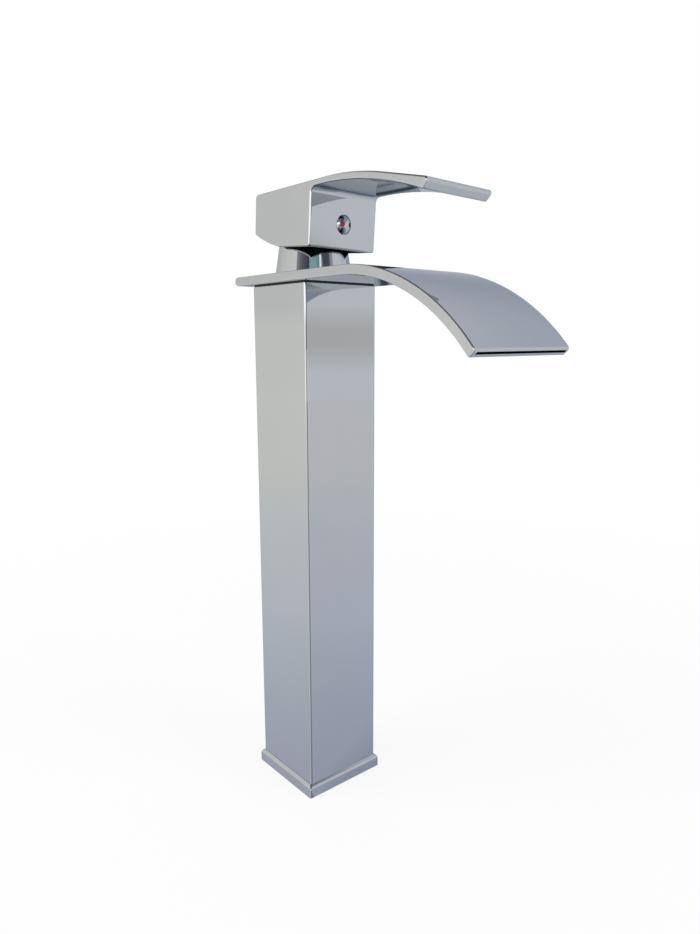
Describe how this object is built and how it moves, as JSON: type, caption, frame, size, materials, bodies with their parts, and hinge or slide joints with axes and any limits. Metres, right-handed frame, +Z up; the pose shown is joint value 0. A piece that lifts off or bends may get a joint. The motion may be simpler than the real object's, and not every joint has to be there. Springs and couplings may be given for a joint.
{
  "type": "waterfall basin faucet",
  "caption": "Tall chrome single-lever basin faucet: square column on a flanged foot, hollow arched waterfall spout with an outlet slit in its lip, square lever head with a curved blade.",
  "frame": {"origin": "middle of the foot's underside, on the deck, on the axis of the mounting shank's thread", "axes": "+Z up along the column, +X out along the spout, +Y towards the cold side"},
  "size_m": [0.1635, 0.0596, 0.3167],
  "materials": {
    "chrome_column": "polished chrome plate on brass tube",
    "chrome_flange": "polished chrome plate",
    "chrome_spout": "polished chrome plate",
    "chrome_bonnet": "polished chrome plate",
    "chrome_lever": "polished chrome plate, bare dark casting inside",
    "chrome_button": "polished chrome plate",
    "brass": "machined",
    "rubber": "matt",
    "cartridge_plastic": "moulded",
    "glide_plastic": "moulded, low friction",
    "disc_ceramic": "lapped",
    "steel": "turned stainless steel",
    "red_mark": "gloss enamel",
    "blue_mark": "gloss enamel"
  },
  "bodies": {
    "body": {"column_shell": "chrome_column", "base_flange": "chrome_flange", "base_gasket": "rubber", "foot_plug": "brass", "waterfall_spout": "chrome_spout", "valve_body": "brass", "cartridge_base": "cartridge_plastic", "port_seals": "rubber", "fixed_disc": "disc_ceramic", "cartridge_housing": "cartridge_plastic", "housing_oring": "rubber", "glide_ring": "glide_plastic", "retaining_nut": "brass", "bonnet": "chrome_bonnet", "bonnet_seal": "rubber"},
    "rotor": {"rotor": "glide_plastic", "stem_pin": "steel"},
    "mixer": {"moving_disc": "disc_ceramic", "disc_carrier": "cartridge_plastic"},
    "lever": {"stem": "brass", "lever_handle": "chrome_lever", "set_screw": "steel", "index_button": "chrome_button", "hot_mark": "red_mark", "cold_mark": "blue_mark"}
  },
  "joints": [
    {"name": "swivel", "type": "hinge", "parent": "body", "child": "rotor", "pos_m": [0, 0, 0.284], "axis": [0, 0, 1], "range_deg": [-48, 42]},
    {"name": "lever_tilt", "type": "hinge", "parent": "rotor", "child": "lever", "pos_m": [0, 0, 0.284], "axis": [0.0523, -0.9986, 0], "range_deg": [0, 25]},
    {"name": "disc_slide", "type": "slide", "parent": "rotor", "child": "mixer", "axis": [0.9986, 0.0523, 0], "range_m": [0, 0.0054]}
  ],
  "couplings": [
    {"joint": "disc_slide", "follows": "lever_tilt", "m_per_rad": 0.012271}
  ]
}
